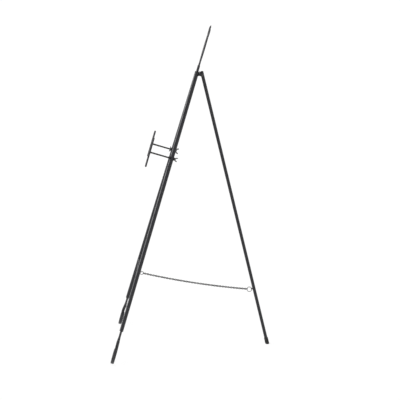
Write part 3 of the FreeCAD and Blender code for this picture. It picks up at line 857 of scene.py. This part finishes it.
def foot_rings(straight):
    axis = Vector((leg_x(LEG_BOTTOM), 0, LEG_BOTTOM)) + LEG_UP * FOOT_INSERT
    path = Path((axis.x, axis.z), LEG_HEADING + 180, [(FOOT_INSERT + straight,)] + FOOT_CURL)
    bend = FOOT_INSERT + straight
    return [section_ring(path.at(t), foot_section(t, bend, path.length))
            for t in stations(path.length, FOOT_STEP, FOOT_NOSE)]


def make_feet():
    """Both feet, with the straight part lengthened or cut until the scrolls stand on the floor."""
    straight = FOOT_STRAIGHT
    for _ in range(4):
        rings = foot_rings(straight)
        lift = min(p.z for ring in sided(rings, "right") for p in ring)
        straight += lift / (LEG_UP.z * math.cos(LEAN))
    for side in SIDES:
        shape = Shape()
        shape.skin(sided(rings, side))
        name = "foot_scroll_" + side
        add_piece(shape, "forged_" + name, FOOT_PAINT, FRONT, [name], 50)


make_feet()


# ---------------------------------------------------------------- crest

CREST_BAR_R = 4.0 * MM
LYRE_START = (11.0 * MM, 1474.0 * MM)
LYRE_CURL = [(22 * MM,), (60 * MM, -35), (85 * MM, 75), (26 * MM, -170), (19 * MM, -100), (13 * MM, -80),
             (9 * MM, -50)]
CREST_NOSE = 3.4 * MM
CREST_STEP = 2.2 * MM
CREST_TAPER = 0.34
CREST_BUD = 1.1 * MM            # what the bud at the end adds to the bar's radius
CREST_TOP = 1693.0 * MM


def crest_section(travel, length):
    """Round bar, tapered through the curl to a small bud."""
    taper = smooth_step(travel, length * 0.55, length - 7 * MM)
    bud = math.exp(-((travel - (length - CREST_NOSE)) / (3.0 * MM)) ** 2)
    radius = CREST_BAR_R * (1 - CREST_TAPER * taper) + CREST_BUD * bud
    radius *= rounding(travel, length, CREST_NOSE)
    return oval(radius, radius, 2.0, 20)


def make_crest():
    """The lyre's two mirrored scrolls, out of the collar."""
    path = Path(LYRE_START, 90, LYRE_CURL)
    rings = [section_ring(path.at(t), crest_section(t, path.length))
             for t in stations(path.length, CREST_STEP, CREST_NOSE)]
    for side in SIDES:
        shape = Shape()
        shape.skin(sided(rings, side))
        name = "crest_scroll_" + side
        add_piece(shape, "forged_" + name, FORGED, FRONT, [name])


# Radius and height, in millimetres.
FINIAL = [(0, 0.05), (3.1, 0.05), (3.4, 0.35), (3.4, 1.7), (2.9, 2.2), (3.1, 2.8), (4.0, 3.5), (4.55, 4.4),
          (4.7, 5.2), (4.5, 6.2), (3.9, 7.2), (3.0, 8.0), (2.55, 8.7), (2.6, 9.3), (3.2, 10.6), (3.8, 12.0),
          (4.15, 13.6), (4.1, 15.2), (3.6, 17.4), (2.9, 19.6), (2.1, 22.0), (1.45, 24.0), (0.9, 25.3),
          (0.45, 25.85), (0, 26.0)]
FLUTES, FLUTE_DEPTH = 4, 0.10
TIP_R = 0.001 * MM    # of a ring that stands for a point


def make_finial():
    """Turned bead and spear, with four shallow flutes up the spear."""
    base = CREST_TOP - FINIAL[-1][1] * MM
    rings = []
    for radius, height in FINIAL:
        fluted = smooth_step(height, 9.5, 13.0) * (1 - smooth_step(height, 21.0, 25.0))
        ring = []
        for turn in turns(48):
            dent = FLUTE_DEPTH * fluted * (0.5 + 0.5 * math.cos(FLUTES * turn))
            r = max(radius * MM, TIP_R) * (1 - dent)
            ring.append(front_point(r * math.sin(turn), r * math.cos(turn), base + height * MM))
        rings.append(ring)
    shape = Shape()
    shape.skin(rings)
    add_piece(shape, "turned_finial", FORGED, FRONT, ["crest_finial"], 48)


make_crest()
make_finial()


# ---------------------------------------------------------------- picture holders

HOLDER_REACH = 110.0 * MM
ROD_END_BACK = 19.5 * MM
ROD_R = 4.0 * MM
THREAD_PITCH = 1.25 * MM
THREAD_STEPS = 6                # rings to one turn of the thread
THREAD_LENGTH = 88.0 * MM
THREAD_DEPTH, THREAD_SLACK = 0.62 * MM, 0.03 * MM
THREAD_END = 1.5 * MM           # half of the length in which the thread fades out
ROD_CHAMFER = 1.0 * MM
UPRIGHT_R = 4.6 * MM
UPRIGHT_STEP = 2.0 * MM
UPRIGHT_TAPER = 0.20
UPRIGHT_CURL = [(51.4 * MM,), (16 * MM, 130), (12 * MM, 90), (8.5 * MM, 60)]
BALL_IN = 3.6 * MM              # from the bar's end to the middle of its ball
BALL_SWELL = 0.9 * MM


def upright_section(to_end):
    """Round bar, thinned a little towards each end, where it finishes in a small ball."""
    taper = 1 - smooth_step(to_end, 5 * MM, 44 * MM)
    ball = math.exp(-((to_end - BALL_IN) / (2.8 * MM)) ** 2)
    radius = UPRIGHT_R * (1 - UPRIGHT_TAPER * taper) + BALL_SWELL * ball
    if to_end < BALL_IN:
        radius *= math.sqrt(max(0.0, 1 - (1 - to_end / BALL_IN) ** 2))
    return oval(radius, radius, 2.0, 20)


def make_uprights():
    """Both S-shaped uprights, each drawn from its upper ball to its lower one."""
    upper = Path((HOLDER_X, HOLDER_UP), 90, UPRIGHT_CURL)
    lower = Path((HOLDER_X, HOLDER_UP), 270, UPRIGHT_CURL)
    length = upper.length
    rings = []
    for travel in stations(2 * length, UPRIGHT_STEP, BALL_IN):
        if travel < length:
            x, up, heading = upper.at(length - travel)
            place = (x, up, heading + math.pi)
        else:
            place = lower.at(travel - length)
        rings.append(section_ring(place, upright_section(min(travel, 2 * length - travel))))
    for side in SIDES:
        shape = Shape()
        shape.skin(sided(rings, side, -HOLDER_REACH))
        name = "holder_upright_" + side
        add_piece(shape, "forged_" + name, FORGED, "holder_" + side, [name])


def thread_radius(travel, turn):
    """Radius of the rod: chamfered tail, rolled thread, then plain."""
    if travel > THREAD_LENGTH + THREAD_END:
        return ROD_R
    phase = (travel / THREAD_PITCH - turn) % 1.0
    groove = min(1.0, max(0.0, 1.25 - 4.4 * abs(phase - 0.5)))
    fade = 1 - smooth_step(travel, THREAD_LENGTH - THREAD_END, THREAD_LENGTH + THREAD_END)
    radius = ROD_R - THREAD_SLACK - THREAD_DEPTH * groove * fade
    return min(radius, ROD_R - ROD_CHAMFER + travel)


def make_rods():
    """Both holder rods, from the threaded tail behind the leg to the upright in front of it."""
    step = THREAD_PITCH / THREAD_STEPS
    threaded = [k * step for k in range(round((THREAD_LENGTH + 2 * MM) / step))]
    plain_start = THREAD_LENGTH + 3 * MM
    plain_length = ROD_END_BACK + HOLDER_REACH - plain_start
    plain = [plain_start + plain_length * k / 8 for k in range(9)]
    count = 24
    rings = []
    for travel in threaded + plain:
        ring = []
        for k in range(count):
            turn = k / count
            radius = thread_radius(travel, turn)
            x = HOLDER_X + radius * math.cos(2 * math.pi * turn)
            up = HOLDER_UP + radius * math.sin(2 * math.pi * turn)
            ring.append((x, ROD_END_BACK - travel, up))
        rings.append(ring)
    for side in SIDES:
        shape = Shape()
        shape.skin(sided(rings, side))
        name = "holder_rod_" + side
        add_piece(shape, "threaded_" + name, OXIDE, "holder_" + side, [name], 60)


def make_upright_welds():
    """Bead round each holder's rod, where it meets the back of the upright."""
    draws = random.Random(19)
    for side in SIDES:
        points = []
        for turn in turns(36):
            across, up = UPRIGHT_WELD_R * math.cos(turn), UPRIGHT_WELD_R * math.sin(turn)
            behind = math.sqrt(max(0.0, UPRIGHT_R ** 2 - across ** 2)) + WELD_STAND
            point = front_point(SIDES[side] * (HOLDER_X + across), behind - HOLDER_REACH, HOLDER_UP + up)
            points.append(point)
        shape = Shape()
        shape.skin(bead_rings(points, UPRIGHT_BEAD, True, draws), closed=True)
        add_piece(shape, "holder_weld_" + side, FORGED, "holder_" + side)


make_uprights()
make_rods()
make_upright_welds()


# ---------------------------------------------------------------- wing nuts

NUT_STAND = 11.5 * MM           # from the leg's middle to the nut's foot
REAR_SPIN = {"left": 55.0, "right": 42.0}      # degrees from lying along the leg
FRONT_SPIN = {"left": 0.0, "right": 90.0}
REAR_NUT = (36.0, 17.0, 6.5)    # span, height and the hub's height, in millimetres
FRONT_NUT = (29.0, 6.5, 5.2)
WING_SHEETS = ((-1.5, 0.90), (-1.15, 0.97), (0.0, 1.0), (1.15, 0.97), (1.5, 0.90))
NUT_VOXEL = 0.42 * MM


def wing_outline(span, tall, hub):
    """Outline of one wing in millimetres: from the hub's foot, round the ear and back."""
    half = span / 2
    return [(3, tall * 0.05), (7.2, tall * 0.07), (half - 3.4, tall * 0.38), (half - 1.3, tall * 0.60),
            (half - 0.1, tall * 0.78), (half - 0.4, tall * 0.93), (half - 1.9, tall * 1.0),
            (half - 3.9, tall * 0.985), (half - 5.8, tall * 0.88),
            (6.3, hub * 0.92), (3, hub * 0.88)]


def wing_rings(outline, sign):
    """A wing as sheets of its outline (place, share of its size): smaller at both faces."""
    centre_x = sum(p[0] for p in outline) / len(outline)
    centre_z = sum(p[1] for p in outline) / len(outline)
    rings = []
    for through, keep in WING_SHEETS:
        ring = []
        for x, z in outline:
            ring.append(Vector((sign * (centre_x + (x - centre_x) * keep), through,
                                centre_z + (z - centre_z) * keep)) * MM)
        rings.append(ring)
    return rings


def wing_nut_mesh(span, tall, hub):
    """One forged wing nut on the XY plane, axis along +Z: hub and wings run into each other.

    The hub's outline is (radius, height) in millimetres, and closes on itself round the bore.
    """
    shape = Shape()
    outline = [(4.05, 0), (6.9, 0), (7.2, 0.35), (6.6, hub * 0.4), (5.95, hub * 0.8), (5.6, hub - 0.4),
               (5.2, hub), (4.5, hub), (4.05, hub - 0.45)]
    rings = [disc_ring(Vector((0, 0, h * MM)), Z_AXIS, r * MM, 48) for r, h in outline]
    shape.skin(rings, closed=True)
    for sign in (-1, 1):
        shape.skin(wing_rings(wing_outline(span, tall, hub), sign))
    piece = shape.object("wing_nut_blank", OXIDE)
    remesh = piece.modifiers.new("remesh", "REMESH")
    remesh.mode = "VOXEL"
    remesh.voxel_size = NUT_VOXEL
    soften = piece.modifiers.new("soften", "SMOOTH")
    soften.factor = 0.5
    soften.iterations = 4
    graph = bpy.context.evaluated_depsgraph_get()
    mesh = bpy.data.meshes.new_from_object(piece.evaluated_get(graph), depsgraph=graph)
    bpy.data.objects.remove(piece)
    return mesh


def place_nut(mesh, name, node, body, side, back, spin):
    """Stand a copy of the nut on its washer, behind (1) or in front (-1) of the leg."""
    copy = mesh.copy()
    copy.name = name
    turn = Matrix.Rotation(math.radians(90 + spin), 3, "Z")
    for vertex in copy.vertices:
        x, y, z = turn @ vertex.co
        up, behind = -back * y, back * (NUT_STAND + z)
        vertex.co = front_point(SIDES[side] * (HOLDER_X + x), behind, HOLDER_UP + up)
    if SIDES[side] < 0:
        copy.flip_normals()
    copy.shade_smooth()
    nut = bpy.data.objects.new(name, copy)
    bpy.context.scene.collection.objects.link(nut)
    copy.materials.clear()
    copy.materials.append(OXIDE)
    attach(nut, body)
    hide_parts(node)


def make_wing_nuts():
    tall = wing_nut_mesh(*REAR_NUT)
    low = wing_nut_mesh(*FRONT_NUT)
    for side in SIDES:
        place_nut(tall, "forged_rear_wing_nut_" + side, "rear_wing_nut_" + side,
                  "rear_nut_" + side, side, 1, REAR_SPIN[side])
        place_nut(low, "forged_front_wing_nut_" + side, "front_wing_nut_" + side,
                  "front_nut_" + side, side, -1, FRONT_SPIN[side])


make_wing_nuts()


# ---------------------------------------------------------------- rings and rear foot

RING_SWELL = 0.10               # what the weld adds to the wire
RING_WIRE_SHARE = 0.97          # of the CAD wire, so that the weld has room


def make_ring(node, name, body, radius, wire, weld_turn):
    """Welded ring of round wire, standing across X, with the swelling of its weld."""
    centre = centre_of(node)
    rings = []
    for turn in turns(72):
        away = math.atan2(math.sin(turn - weld_turn), math.cos(turn - weld_turn))
        swell = 1 + RING_SWELL * math.exp(-(away * radius / (1.1 * MM)) ** 2)
        out = Vector((0, math.cos(turn), math.sin(turn)))
        rings.append(circle(centre + out * radius, out, X_AXIS, wire * swell * RING_WIRE_SHARE, 16))
    shape = Shape()
    shape.skin(rings, closed=True)
    add_piece(shape, name, RING_ZINC, body, [node])


make_ring("chain_front_ring", "welded_front_ring", FRONT, 8.5 * MM, 1.5 * MM, math.radians(100))
make_ring("chain_rear_ring", "welded_rear_ring", REAR, 12.2 * MM, 1.65 * MM, math.radians(70))

# Radius and height above the floor end of the leg's axis, in millimetres.
FERRULE = [(0.0, -5.0), (6.0, -5.0), (8.0, -4.6), (9.3, -3.6), (9.9, -2.0), (10.0, 0.0), (10.0, 4.6),
           (9.9, 5.0), (9.35, 5.3), (9.35, 6.9), (9.9, 7.2), (10.0, 7.6), (10.0, 10.0), (9.9, 10.4),
           (9.35, 10.7), (9.35, 12.3), (9.9, 12.6), (10.0, 13.0), (10.0, 15.4), (9.9, 15.8), (9.35, 16.1),
           (9.35, 17.7), (9.9, 18.0), (10.0, 18.4), (10.0, 29.0), (9.85, 31.0), (9.4, 33.0), (8.9, 34.0),
           (8.05, 34.0), (8.05, 26.0)]


def make_ferrule():
    """Rubber foot with three grip grooves, flat where it stands on the floor."""
    length = HINGE.z / math.cos(REAR_LEAN)
    shape = Shape()
    rings = []
    for radius, height in FERRULE:
        ring = []
        for turn in turns(56):
            r = max(radius * MM, 2 * TIP_R)
            spot = rear_point(r * math.cos(turn), r * math.sin(turn), height * MM - length)
            spot.z = max(spot.z, 0.0)
            ring.append(spot)
        rings.append(ring)
    shape.skin(rings)
    add_piece(shape, "ribbed_rear_foot", RUBBER, REAR, ["rear_foot_cap"], 35)


make_ferrule()


# ---------------------------------------------------------------- materials on the CAD nodes

NODE_MATERIALS = {
    PAINT: ["front_leg_left", "front_leg_right", "tube_end_plug_left", "tube_end_plug_right", "crossbar",
            "crest_stem", "crest_collar", "hinge_bracket", "rear_leg_tube", "chain_rear_staple"],
    OXIDE: ["hinge_bolt", "hinge_nut", "hinge_washers", "rear_leg_bush", "chain_front_eye",
            "holder_front_washer_left", "holder_front_washer_right", "holder_rear_washer_left",
            "holder_rear_washer_right"],
    PLASTIC: ["leg_top_cap_left", "leg_top_cap_right", "rear_leg_cap"],
}
for material, names in NODE_MATERIALS.items():
    for name in names:
        for slot in NODES[name].material_slots:
            slot.material = material
